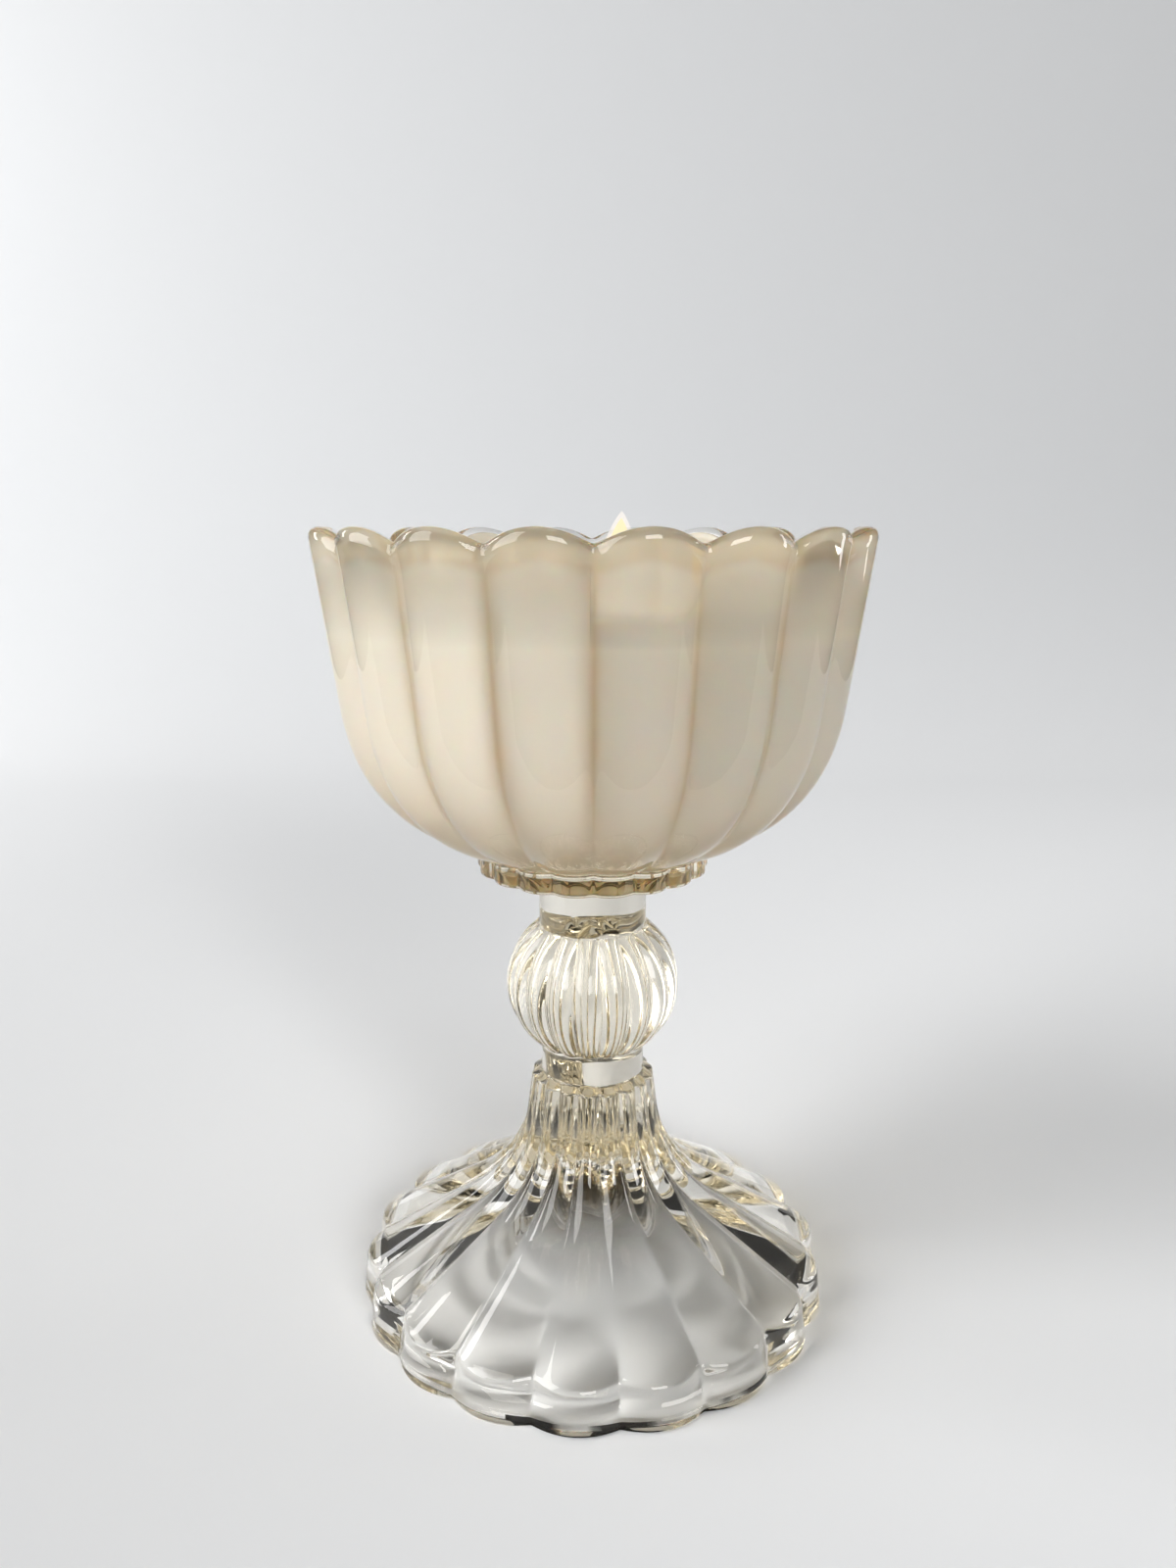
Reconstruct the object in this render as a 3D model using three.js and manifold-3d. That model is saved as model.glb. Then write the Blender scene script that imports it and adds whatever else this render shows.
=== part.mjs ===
// Stemmed candle holder in pressed glass: a fluted bowl bonded onto a fluted pedestal,
// holding a poured candle that has burnt down inside its own wax wall.
// Millimetres, +Z up. The origin is the centre of the foot on the table, and -Y is the front.

import * as THREE from 'three';
import { mergeVertices } from 'three/addons/utils/BufferGeometryUtils.js';
import Module from 'manifold-3d';

// Flutes, the same pattern on both pressings
const fluteCount = 18;
const facetsPerFlute = 4;
const curveSpans = 6; // straight spans along each curve of a profile
const ballSpans = 8;
const tipSpans = 9;
const weldTolerance = 1e-4; // corners closer than this are one
const pedestalTurn = 6; // degrees that the pedestal's valleys are turned from the bowl's

// Pedestal foot and bell
const footRadius = 46; // on the lobe crests
const footFlute = 1.2; // how far the valleys lie inside the crests
const footEdge = 0.6; // rounding where the foot meets the table
const skirtHeight = 8.4;
const shoulderRadius = 45.2;
const shoulderRound = 0.8;
const shoulderFlute = 1.5;
const bellHeight = 36.7;
const bellWaistRadius = 14.2; // where the bell's two slopes would meet
const bellWaistRise = 18.6; // that meeting point above the skirt
const bellLowerBlend = 0.34; // share of the lower slope that the bend takes
const bellUpperBlend = 0.6; // share of the upper slope that the bend takes
const collarRadius = 11.9;
const collarFlute = 0.8;
const bellWall = 5.5; // glass of the bell, square to its lower slope
const hollowTop = 26; // the plunger's round tip under the stem
const hollowMouth = 42.2;
const mouthRound = 1.2; // where the bell's underside turns down into the skirt

// Pedestal stem
const shelfRise = 1; // sloping shelf on the collar
const lowerNeckRadius = 9.9;
const lowerNeckHeight = 6.1;
const ballRadius = 16.6;
const ballSeatRadius = 10.6; // where the ball runs into the necks
const ballHeight = 23.4;
const ribDepth = 1.3; // at the ball's waist
const upperNeckRadius = 10.2;
const upperNeckHeight = 11;
const neckEdge = 0.4;

// Bond between the two pressings
const bondThickness = 0.3;

// Bowl
const ringRadius = 21.8;
const ringFlute = 1.1;
const ringChamfer = 0.9;
const ringHeight = 4.2;
const bellyHeight = 27.9;
const bellyTurnRise = 7; // the belly's turning point above the ring
const wallFootRadius = 46;
const wallHeight = 30.7;
const rimRadius = 50.3;
const rimFlute = 2.7;
const rimScallop = 2.4; // how far the rim dips at each valley
const scallopFade = 9; // depth below the rim where the dip has faded out
const rimRound = 1.3;
const rimWall = 4.4; // glass thickness behind the crests at the rim
const footWall = 4.7; // the same where the belly begins
const innerFlute = 0.6; // faint flutes inside the rim
const innerFluteFoot = 0.4; // the same where the belly begins
const floorThickness = 10.8;
const floorRadius = 14; // flat middle of the bowl's floor

// Candle
const waxGap = 0.3; // clearance of the wax to the glass
const filmBelowRim = 2.4; // where the wax wall ends under the rim
const filmTopThickness = 1;
const filmThickness = 1.9; // wax wall at the melt pool
const poolBelowRim = 18.4;
const poolFillet = 1.6;
const wickRadius = 1.2;
const wickFacets = 10;
const wickSteps = 18;
const wickStand = 7; // wick above the melt pool
const wickCurlRise = 4.2; // height above the pool that its curl bends round
const wickLean = 4.2; // how far its tip curls to +X
const smallFacets = 28; // around the sustainer and its sticker
const stickerRadius = 8;
const stickerThickness = 0.8;
const sustainerRadius = 8.5;
const sustainerThickness = 0.4;
const crimpHeight = 5;
const crimpWall = 0.4;
const fitGap = 0.3; // clearance of the small pieces to each other and to the wax

// Heights worked out from the sizes above
const collarHeight = skirtHeight + bellHeight;
const ballFoot = collarHeight + shelfRise + lowerNeckHeight;
const ballTop = ballFoot + ballHeight;
const pedestalTop = ballTop + upperNeckHeight;
const bowlSeat = pedestalTop + bondThickness;
const ringTop = bowlSeat + ringHeight;
const wallFoot = ringTop + bellyHeight;
const rimHeight = wallFoot + wallHeight;
const floorHeight = bowlSeat + floorThickness;
const poolHeight = rimHeight - poolBelowRim;
const stickerTop = floorHeight + stickerThickness;
const sustainerTop = stickerTop + sustainerThickness;
const crimpTop = sustainerTop + crimpHeight;

const { lerp, mapLinear, degToRad } = THREE.MathUtils;
const point = (radius, height) => new THREE.Vector2(radius, height);

// One ring of a fluted profile. Its valleys lie inside the crests by flute and below them by drop.
const ring = (radius, height, flute = 0, drop = 0) => ({ radius, height, flute, drop });

// Rings along a curve, with the flute depth read from each point
function ringsAlong(curve, spans, fluteAt) {
  return curve.getPoints(spans).map((at) => ring(at.x, at.y, fluteAt(at)));
}

// Merges the corners that a seam or a pole repeats, and drops the faces that this closes up
function closed(geometry) {
  geometry.deleteAttribute('normal');
  geometry.deleteAttribute('uv');
  const merged = mergeVertices(geometry, weldTolerance);
  const corners = Array.from(merged.index.array);
  const kept = [];
  for (let i = 0; i < corners.length; i += 3) {
    const [a, b, c] = corners.slice(i, i + 3);
    if (a !== b && b !== c && c !== a) {
      kept.push(a, b, c);
    }
  }
  merged.setIndex(kept);
  return merged;
}

// Share of the flute depth at a facet's edge: 1 in the sharp valley, 0 on the round crest
function valleyShare(step) {
  const across = (step % facetsPerFlute) / facetsPerFlute;
  return (2 * across - 1) ** 2;
}

// A turned profile whose rings dip into a valley between each pair of lobes
function flutedLathe(rings) {
  const facets = fluteCount * facetsPerFlute;
  const outline = rings.map(({ radius, height }) => point(radius, height));
  const geometry = new THREE.LatheGeometry(outline, facets);
  const corners = geometry.attributes.position;
  for (let i = 0; i < corners.count; i += 1) {
    const { radius, height, flute, drop } = rings[i % rings.length];
    const step = Math.floor(i / rings.length) % facets;
    const turn = (2 * Math.PI * step) / facets;
    const share = valleyShare(step);
    const reach = radius - flute * share;
    corners.setXYZ(i, reach * Math.sin(turn), -reach * Math.cos(turn), height - drop * share);
  }
  return closed(geometry);
}

function plainLathe(outline, facets) {
  return closed(new THREE.LatheGeometry(outline, facets).rotateX(Math.PI / 2));
}

// Underside of the bell: a wall of even thickness that runs up to a round tip under the stem
function hollowRings(shoulder, waist) {
  const slope = shoulder.clone().sub(waist).normalize();
  const wall = point(-slope.y, slope.x).multiplyScalar(bellWall);
  const upper = waist.clone().lerp(shoulder, bellLowerBlend).sub(wall);
  const lower = shoulder.clone().sub(wall);
  const brimRadius = hollowMouth - mouthRound;
  const brimHeight = mapLinear(brimRadius, upper.x, lower.x, upper.y, lower.y);
  const tipRadius = mapLinear(hollowTop, upper.y, lower.y, upper.x, lower.x);
  const tip = new THREE.QuadraticBezierCurve(
    point(0, hollowTop),
    point(tipRadius, hollowTop),
    upper,
  );
  return [
    ...ringsAlong(tip, tipSpans, () => 0),
    ring(brimRadius, brimHeight),
    ring(hollowMouth, brimHeight - mouthRound),
    ring(hollowMouth, footEdge),
    ring(hollowMouth + footEdge, 0),
  ];
}

// The pedestal in one pressing: hollow foot, fluted bell, collar, necks and ribbed ball
function pedestalGeometry() {
  const bellFluteAt = (at) => mapLinear(at.x, collarRadius, shoulderRadius, collarFlute, shoulderFlute);
  const shoulder = point(shoulderRadius - shoulderRound, skirtHeight);
  const waist = point(bellWaistRadius, skirtHeight + bellWaistRise);
  const collar = point(collarRadius, collarHeight);
  const bend = new THREE.QuadraticBezierCurve(
    waist.clone().lerp(shoulder, bellLowerBlend),
    waist,
    waist.clone().lerp(collar, bellUpperBlend),
  );
  const ballSpread = Math.acos(ballSeatRadius / ballRadius);
  const ball = new THREE.EllipseCurve(
    0,
    ballFoot + ballHeight / 2,
    ballRadius,
    ballHeight / 2 / Math.sin(ballSpread),
    -ballSpread,
    ballSpread,
  );
  return flutedLathe([
    ...hollowRings(shoulder, waist),
    ring(footRadius - footEdge, 0, footFlute),
    ring(footRadius, footEdge, footFlute),
    ring(shoulderRadius, skirtHeight - shoulderRound, shoulderFlute),
    ring(shoulder.x, shoulder.y, shoulderFlute),
    ...ringsAlong(bend, curveSpans, bellFluteAt),
    ring(collarRadius, collarHeight, collarFlute),
    ring(lowerNeckRadius, collarHeight + shelfRise),
    ring(lowerNeckRadius, ballFoot),
    ...ringsAlong(ball, ballSpans, (at) => ribDepth * (at.x / ballRadius) ** 2),
    ring(upperNeckRadius, ballTop),
    ring(upperNeckRadius, pedestalTop - neckEdge),
    ring(upperNeckRadius - neckEdge, pedestalTop),
    ring(0, pedestalTop),
  ]);
}

// Adhesive that fills the joint between the neck's flat top and the bowl's foot ring
function bondGeometry() {
  const radius = upperNeckRadius - neckEdge;
  return plainLathe(
    [point(0, pedestalTop), point(radius, pedestalTop), point(radius, bowlSeat), point(0, bowlSeat)],
    smallFacets,
  );
}

// Inner radius of the bowl behind the crests, along its straight wall
function insideRadius(height) {
  return mapLinear(height, wallFoot, rimHeight, wallFootRadius - footWall, rimRadius - rimWall);
}

const insideFlute = (height) => mapLinear(height, wallFoot, rimHeight, innerFluteFoot, innerFlute);
const fadeHeight = rimHeight - scallopFade;

// The bowl's inside from the floor's edge to the wall's foot, or a fill that stands off it by gap
function insideRings(gap) {
  const wallRadius = insideRadius(wallFoot) - gap;
  const curve = new THREE.QuadraticBezierCurve(
    point(floorRadius, floorHeight + gap),
    point(insideRadius(floorHeight) - gap, floorHeight + gap),
    point(wallRadius, wallFoot),
  );
  return ringsAlong(curve, curveSpans, (at) => mapLinear(at.x, floorRadius, wallRadius, 0, innerFluteFoot));
}

// The bowl: foot ring, fluted belly and wall, scalloped rim and faintly fluted inside
function bowlGeometry() {
  const outsideRadius = (height) => mapLinear(height, wallFoot, rimHeight, wallFootRadius, rimRadius);
  const outsideFlute = (at) => mapLinear(at.x, ringRadius, rimRadius, ringFlute, rimFlute);
  const turnHeight = ringTop + bellyTurnRise;
  const belly = new THREE.QuadraticBezierCurve(
    point(ringRadius, ringTop),
    point(outsideRadius(turnHeight), turnHeight),
    point(wallFootRadius, wallFoot),
  );
  const fade = point(outsideRadius(fadeHeight), fadeHeight);
  const rimFlutes = [rimFlute, lerp(rimFlute, innerFlute, 0.5), innerFlute];
  return flutedLathe([
    ring(0, bowlSeat),
    ring(ringRadius - ringChamfer, bowlSeat, ringFlute),
    ring(ringRadius, bowlSeat + ringChamfer, ringFlute),
    ...ringsAlong(belly, curveSpans, outsideFlute),
    ring(fade.x, fade.y, outsideFlute(fade)),
    ring(rimRadius, rimHeight - rimRound, rimFlutes[0], rimScallop),
    ring(rimRadius - rimWall / 2, rimHeight, rimFlutes[1], rimScallop),
    ring(rimRadius - rimWall, rimHeight - rimRound, rimFlutes[2], rimScallop),
    ring(insideRadius(fadeHeight), fadeHeight, insideFlute(fadeHeight)),
    ...insideRings(0).reverse(),
    ring(0, floorHeight),
  ]);
}

const wasm = await Module();
wasm.setup();

function solidOf(geometry) {
  return new wasm.Manifold(new wasm.Mesh({
    numProp: 3,
    vertProperties: new Float32Array(geometry.attributes.position.array),
    triVerts: new Uint32Array(geometry.index.array),
  }));
}

function geometryOf(solid) {
  const { vertProperties, triVerts } = solid.getMesh();
  const geometry = new THREE.BufferGeometry();
  geometry.setAttribute('position', new THREE.BufferAttribute(vertProperties, 3));
  geometry.setIndex(new THREE.BufferAttribute(triVerts, 1));
  return geometry;
}

// The poured wax, with its burnt well, cut free around the wick and the pieces that hold it
function waxGeometry() {
  const filmTop = rimHeight - filmBelowRim;
  const fillet = poolHeight + poolFillet;
  const outside = (height) => insideRadius(height) - waxGap;
  const well = outside(poolHeight) - filmThickness;
  const dip = mapLinear(filmTop, fadeHeight, rimHeight - rimRound, 0, rimScallop);
  const fill = flutedLathe([
    ring(0, floorHeight + waxGap),
    ...insideRings(waxGap),
    ring(outside(fadeHeight), fadeHeight, insideFlute(fadeHeight)),
    ring(outside(filmTop), filmTop, insideFlute(filmTop), dip),
    ring(outside(filmTop) - filmTopThickness, filmTop, insideFlute(filmTop), dip),
    ring(outside(fadeHeight) - filmThickness, fadeHeight, insideFlute(fadeHeight)),
    ring(well, fillet, insideFlute(fillet)),
    ring(well - poolFillet, poolHeight, insideFlute(poolHeight) / 2),
    ring(0, poolHeight),
  ]);
  const padRadius = Math.max(stickerRadius, sustainerRadius) + fitGap;
  const crimpRadius = wickRadius + fitGap + crimpWall + fitGap;
  const boreRadius = wickRadius + fitGap;
  const pocket = plainLathe([
    point(0, floorHeight),
    point(padRadius, floorHeight),
    point(padRadius, sustainerTop + fitGap),
    point(crimpRadius, sustainerTop + fitGap),
    point(crimpRadius, crimpTop + fitGap),
    point(boreRadius, crimpTop + fitGap),
    point(boreRadius, rimHeight),
    point(0, rimHeight),
  ], smallFacets);
  return geometryOf(solidOf(fill).subtract(solidOf(pocket)));
}

// Cotton wick: straight up through the wax, then curling over above the melt pool
function wickGeometry() {
  const path = new THREE.CurvePath();
  const leave = new THREE.Vector3(0, 0, poolHeight);
  path.add(new THREE.LineCurve3(new THREE.Vector3(0, 0, stickerTop + fitGap), leave));
  path.add(new THREE.QuadraticBezierCurve3(
    leave,
    new THREE.Vector3(0, 0, poolHeight + wickCurlRise),
    new THREE.Vector3(wickLean, 0, poolHeight + wickStand),
  ));
  const section = new THREE.Shape();
  for (let i = 0; i < wickFacets; i += 1) {
    const turn = (2 * Math.PI * i) / wickFacets;
    const corner = [wickRadius * Math.cos(turn), wickRadius * Math.sin(turn)];
    if (i === 0) {
      section.moveTo(...corner);
    } else {
      section.lineTo(...corner);
    }
  }
  return closed(new THREE.ExtrudeGeometry(section, { steps: wickSteps, extrudePath: path }));
}

// Stamped tab that holds the wick upright, with a crimped tube in its middle
function sustainerGeometry() {
  const bore = wickRadius + fitGap;
  const crimp = bore + crimpWall;
  return plainLathe([
    point(bore, stickerTop),
    point(sustainerRadius, stickerTop),
    point(sustainerRadius, sustainerTop),
    point(crimp, sustainerTop),
    point(crimp, crimpTop),
    point(bore, crimpTop),
    point(bore, stickerTop),
  ], smallFacets);
}

// Foam sticker that holds the tab to the bowl's floor
function stickerGeometry() {
  return plainLathe([
    point(0, floorHeight),
    point(stickerRadius, floorHeight),
    point(stickerRadius, stickerTop),
    point(0, stickerTop),
  ], smallFacets);
}

function material(color, roughness, metalness = 0, opacity = 1) {
  return new THREE.MeshStandardMaterial({
    color, roughness, metalness, opacity, transparent: opacity < 1, flatShading: true,
  });
}

function piece(name, geometry, finish) {
  const mesh = new THREE.Mesh(geometry, finish);
  mesh.name = name;
  return mesh;
}

const pedestal = piece('glass_pedestal', pedestalGeometry(), material(0xe6e5dc, 0.04, 0, 0.4));
pedestal.rotation.z = degToRad(pedestalTurn);

const glass = new THREE.Group();
glass.add(pedestal);
glass.add(piece('bond_film', bondGeometry(), material(0xf2efe2, 0.2, 0, 0.6)));
glass.add(piece('glass_bowl', bowlGeometry(), material(0xe8e2d4, 0.04, 0, 0.4)));

const candle = new THREE.Group();
candle.add(piece('candle_wax', waxGeometry(), material(0xe6d9c2, 0.45)));
candle.add(piece('wick', wickGeometry(), material(0x4a3b2c, 0.9)));
candle.add(piece('wick_sustainer', sustainerGeometry(), material(0xb9bbbd, 0.35, 1)));
candle.add(piece('wick_sticker', stickerGeometry(), material(0xf0efe9, 0.8)));

const candleHolder = new THREE.Group();
candleHolder.add(glass, candle);

export default candleHolder;
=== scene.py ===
import math
import bmesh
import bpy
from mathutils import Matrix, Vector


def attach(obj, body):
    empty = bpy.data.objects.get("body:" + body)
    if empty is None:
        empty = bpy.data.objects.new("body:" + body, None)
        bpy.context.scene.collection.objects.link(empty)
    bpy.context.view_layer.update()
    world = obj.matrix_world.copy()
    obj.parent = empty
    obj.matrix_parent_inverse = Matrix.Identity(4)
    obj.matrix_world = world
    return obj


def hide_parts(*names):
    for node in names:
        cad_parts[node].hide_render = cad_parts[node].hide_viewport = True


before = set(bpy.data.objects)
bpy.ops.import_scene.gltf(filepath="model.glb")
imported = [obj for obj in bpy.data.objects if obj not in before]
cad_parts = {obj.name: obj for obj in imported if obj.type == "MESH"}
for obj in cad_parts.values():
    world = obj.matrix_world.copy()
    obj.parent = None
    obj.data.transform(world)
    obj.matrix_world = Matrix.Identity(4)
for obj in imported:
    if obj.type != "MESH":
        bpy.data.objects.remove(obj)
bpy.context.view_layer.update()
scene = bpy.context.scene
mm = 0.001  # sizes below are in millimetres, Blender works in metres
print("frame loaded:", ", ".join(sorted(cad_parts)))


# Shared helpers

def linear(hexColour):  # sRGB hex to the linear values that sockets take
    parts = [int(hexColour[i:i + 2], 16) / 255 for i in (1, 3, 5)]
    return (*[c / 12.92 if c <= 0.04045 else ((c + 0.055) / 1.055) ** 2.4 for c in parts], 1)


def addNode(tree, kind, inputs=None, **settings):
    node = tree.nodes.new(kind)
    for name, value in settings.items():
        setattr(node, name, value)
    for key, value in (inputs or {}).items():
        if isinstance(value, bpy.types.NodeSocket):
            tree.links.new(value, node.inputs[key])
        else:
            node.inputs[key].default_value = value
    return node


def newMaterial(name):  # an empty material and its output node
    material = bpy.data.materials.new(name)
    material.use_nodes = True
    material.node_tree.nodes.clear()
    return material, material.node_tree, addNode(material.node_tree, "ShaderNodeOutputMaterial")


def knot(radius, height, flute=0, drop=0):  # a profile point, with the depth and dip of its valleys
    return Vector((radius, height, flute, drop))


def bend(start, turn, end, steps=14):  # a smooth curve between two knots
    shares = [i / steps for i in range(steps + 1)]
    return [start * (1 - t) ** 2 + turn * (2 * t * (1 - t)) + end * t * t for t in shares]


def span(a, b):  # distance between two knots
    return math.hypot(b[0] - a[0], b[1] - a[1])


def along(at, low, high, lowValue, highValue):  # straight from one value to the other
    return lowValue + (highValue - lowValue) * (at - low) / (high - low)


def roundedPath(corners, longest=1.5):  # (knot, rounding) pairs to a fine path
    path = []
    for i, (here, rounding) in enumerate(corners):
        if rounding:
            before, after = corners[i - 1][0], corners[i + 1][0]
            start = here.lerp(before, rounding / span(here, before))
            end = here.lerp(after, rounding / span(here, after))
            path += bend(start, here, end, steps=7)
        else:
            path.append(here)
    fine = [path[0]]
    for here in path[1:]:
        last = fine[-1]
        pieces = math.ceil(span(last, here) / longest)
        fine += [last.lerp(here, i / pieces) for i in range(1, pieces + 1)]
    return fine


def smooth(curve):  # curve points take no rounding of their own
    return [(point, 0) for point in curve]


# Geometry Nodes: one flute is bent from a profile line, copied round the axis and welded

pressingSettings = {"crowding": 0.6, "weld": 0.002}
pressingInputs = {}


def pressingTree(settings):
    tree = bpy.data.node_groups.new("flutedPressing", "GeometryNodeTree")
    for name, kind in (
        ("Profile", "Geometry"), ("Flutes", "Int"), ("Steps", "Int"), ("Turn", "Float"),
        ("Valley round", "Float"), ("Ripple", "Float"), ("Ripple scale", "Float"), ("Finish", "Material"),
    ):
        socket = tree.interface.new_socket(name=name, in_out="INPUT", socket_type="NodeSocket" + kind)
        pressingInputs[name] = socket.identifier
    tree.interface.new_socket(name="Pressing", in_out="OUTPUT", socket_type="NodeSocketGeometry")
    given = addNode(tree, "NodeGroupInput").outputs
    known = {name: given[name] for name in pressingInputs}
    size = addNode(tree, "GeometryNodeAttributeDomainSize", {"Geometry": given["Profile"]})
    known["rows"] = size.outputs["Point Count"]
    known["index"] = addNode(tree, "GeometryNodeInputIndex").outputs[0]

    # each grid point reads its knot on the profile: place, and depth and dip of the valley
    row = addNode(tree, "ShaderNodeMath", {0: known["index"], 1: known["rows"]}, operation="MODULO")
    readings = {"knot": ("FLOAT_VECTOR", addNode(tree, "GeometryNodeInputPosition").outputs[0])}
    for word in ("flute", "drop"):
        stored = addNode(tree, "GeometryNodeInputNamedAttribute", {"Name": word}, data_type="FLOAT")
        readings[word] = ("FLOAT", stored.outputs["Attribute"])
    for word, (kind, value) in readings.items():
        reading = addNode(tree, "GeometryNodeSampleIndex", {
            "Geometry": given["Profile"], "Value": value, "Index": row.outputs[0],
        }, data_type=kind)
        known[word] = reading.outputs["Value"]
    at = addNode(tree, "ShaderNodeSeparateXYZ", {0: known["knot"]}).outputs
    known["radius"], known["height"] = at["X"], at["Z"]
    waves = addNode(tree, "ShaderNodeTexNoise", {"Scale": given["Ripple scale"], "Detail": 1})
    known["wave"] = waves.outputs["Fac"]

    # each sum has a name, an operation and its terms, which are names from above or numbers
    for word, operation, *terms in (
        # a flat grid: one row for each knot, columns from valley to valley
        ("columns", "ADD", "Steps", 1),
        ("column", "DIVIDE", "index", "rows"),
        ("wholeColumn", "FLOOR", "column"),
        ("across", "DIVIDE", "wholeColumn", "Steps"),
        # columns crowd towards the valleys, where the surface turns sharply
        ("swing", "MULTIPLY", "across", math.tau),
        ("sway", "SINE", "swing"),
        ("crowd", "MULTIPLY", "sway", settings["crowding"] / math.tau),
        ("place", "SUBTRACT", "across", "crowd"),
        # 0 in the valley, 1 on the crest
        ("doubled", "MULTIPLY", "place", 2),
        ("fromCrest", "SUBTRACT", "doubled", 1),
        ("offCrest", "ABSOLUTE", "fromCrest"),
        ("toCrest", "SUBTRACT", 1, "offCrest"),
        # 1 in the rounded valley, 0 on the crest
        ("roundSquared", "MULTIPLY", "Valley round", "Valley round"),
        ("slantSquared", "MULTIPLY_ADD", "toCrest", "toCrest", "roundSquared"),
        ("slant", "SQRT", "slantSquared"),
        ("lifted", "SUBTRACT", "slant", "Valley round"),
        ("crestSquared", "ADD", 1, "roundSquared"),
        ("crestSlant", "SQRT", "crestSquared"),
        ("crestLifted", "SUBTRACT", "crestSlant", "Valley round"),
        ("climbed", "DIVIDE", "lifted", "crestLifted"),
        ("leftToClimb", "SUBTRACT", 1, "climbed"),
        ("valley", "POWER", "leftToClimb", 2),
        # the knot's radius and height, less the valley, at the column's angle
        ("cut", "MULTIPLY", "flute", "valley"),
        ("reach", "SUBTRACT", "radius", "cut"),
        ("dip", "MULTIPLY", "drop", "valley"),
        ("Z", "SUBTRACT", "height", "dip"),
        ("sector", "DIVIDE", math.tau, "Flutes"),
        ("angle", "MULTIPLY_ADD", "place", "sector", "Turn"),
        ("sine", "SINE", "angle"),
        ("X", "MULTIPLY", "reach", "sine"),
        ("cosine", "COSINE", "angle"),
        ("forward", "MULTIPLY", "cosine", -1),
        ("Y", "MULTIPLY", "reach", "forward"),
        # the turn of each copy, and the slow waves that mould and fire leave in the surface
        ("spin", "MULTIPLY", "index", "sector"),
        ("swell", "SUBTRACT", "wave", 0.5),
        ("lift", "MULTIPLY", "swell", "Ripple"),
    ):
        inputs = {i: known.get(term, term) for i, term in enumerate(terms)}
        known[word] = addNode(tree, "ShaderNodeMath", inputs, operation=operation).outputs[0]

    grid = addNode(tree, "GeometryNodeMeshGrid", {
        "Vertices X": known["columns"], "Vertices Y": known["rows"],
    })
    target = addNode(tree, "ShaderNodeCombineXYZ", {axis: known[axis] for axis in "XYZ"})
    flute = addNode(tree, "GeometryNodeSetPosition", {
        "Geometry": grid.outputs["Mesh"], "Position": target.outputs[0],
    })

    # copies of the flute round the axis, welded into one closed skin
    spots = addNode(tree, "GeometryNodePoints", {"Count": given["Flutes"]})
    spin = addNode(tree, "ShaderNodeCombineXYZ", {"Z": known["spin"]})
    copies = addNode(tree, "GeometryNodeInstanceOnPoints", {
        "Points": spots.outputs[0], "Instance": flute.outputs[0], "Rotation": spin.outputs[0],
    })
    skin = addNode(tree, "GeometryNodeRealizeInstances", {0: copies.outputs[0]})
    skin = addNode(tree, "GeometryNodeMergeByDistance", {
        "Geometry": skin.outputs[0], "Distance": settings["weld"] * mm,
    })
    normal = addNode(tree, "GeometryNodeInputNormal").outputs[0]
    offset = addNode(tree, "ShaderNodeVectorMath", {0: normal, "Scale": known["lift"]}, operation="SCALE")
    skin = addNode(tree, "GeometryNodeSetPosition", {
        "Geometry": skin.outputs[0], "Offset": offset.outputs[0],
    })
    skin = addNode(tree, "GeometryNodeSetShadeSmooth", {"Geometry": skin.outputs[0]})
    skin = addNode(tree, "GeometryNodeSetMaterial", {
        "Geometry": skin.outputs[0], "Material": given["Finish"],
    })
    addNode(tree, "NodeGroupOutput", {0: skin.outputs[0]})
    return tree


pressing = pressingTree(pressingSettings)


def pressed(
    name, profile, finish, flutes=18, steps=20, turn=0, valleyRound=0.03, ripple=0, rippleLength=12,
):
    line = bpy.data.meshes.new(name + "Profile")
    line.from_pydata(
        [(p[0] * mm, 0, p[1] * mm) for p in profile], [(i, i + 1) for i in range(len(profile) - 1)], []
    )
    for part, word in ((2, "flute"), (3, "drop")):
        depths = line.attributes.new(word, "FLOAT", "POINT")
        depths.data.foreach_set("value", [p[part] * mm for p in profile])
    piece = bpy.data.objects.new(name, line)
    scene.collection.objects.link(piece)
    modifier = piece.modifiers.new("pressing", "NODES")
    modifier.node_group = pressing
    for word, value in {
        "Flutes": flutes, "Steps": steps, "Turn": math.radians(turn), "Valley round": valleyRound,
        "Ripple": ripple * mm, "Ripple scale": 1 / (rippleLength * mm), "Finish": finish,
    }.items():
        modifier[pressingInputs[word]] = value
    depsgraph = bpy.context.evaluated_depsgraph_get()
    mesh = bpy.data.meshes.new_from_object(piece.evaluated_get(depsgraph), depsgraph=depsgraph)
    mesh.name = name
    piece.modifiers.remove(modifier)
    piece.data = mesh
    faceOutward(mesh)
    print("made", name, "with", len(mesh.polygons), "faces")
    return piece


def faceOutward(mesh):
    work = bmesh.new()
    work.from_mesh(mesh)
    bmesh.ops.recalc_face_normals(work, faces=work.faces)
    if work.calc_volume(signed=True) < 0:
        bmesh.ops.reverse_faces(work, faces=work.faces)
    work.to_mesh(mesh)
    work.free()


def seat(piece, node):  # the piece stands for a CAD node on the one body
    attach(piece, "root")
    if node:
        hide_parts(node)
    return piece


# Finishes

glassLook = {
    "straw": "#F1DFA2", "strawDensity": 12, "ior": 1.52, "roughness": 0.0,
    # painted shade: the dark tone high in the hollow foot, and the dark patches along the front of the ring
    "clear": "#FFFFFF", "hollowShade": "#1E1B17", "hollowShadeFrom": 10, "hollowShadeTo": 23,
    "ringShade": "#24221F", "ringShadeTop": 0.7, "ringShadeFrom": -15, "ringShadeTo": 30,
    "ringShadeSpot": 11, "ringShadeCoverFrom": 0.44, "ringShadeCoverTo": 0.5,
}


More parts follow.
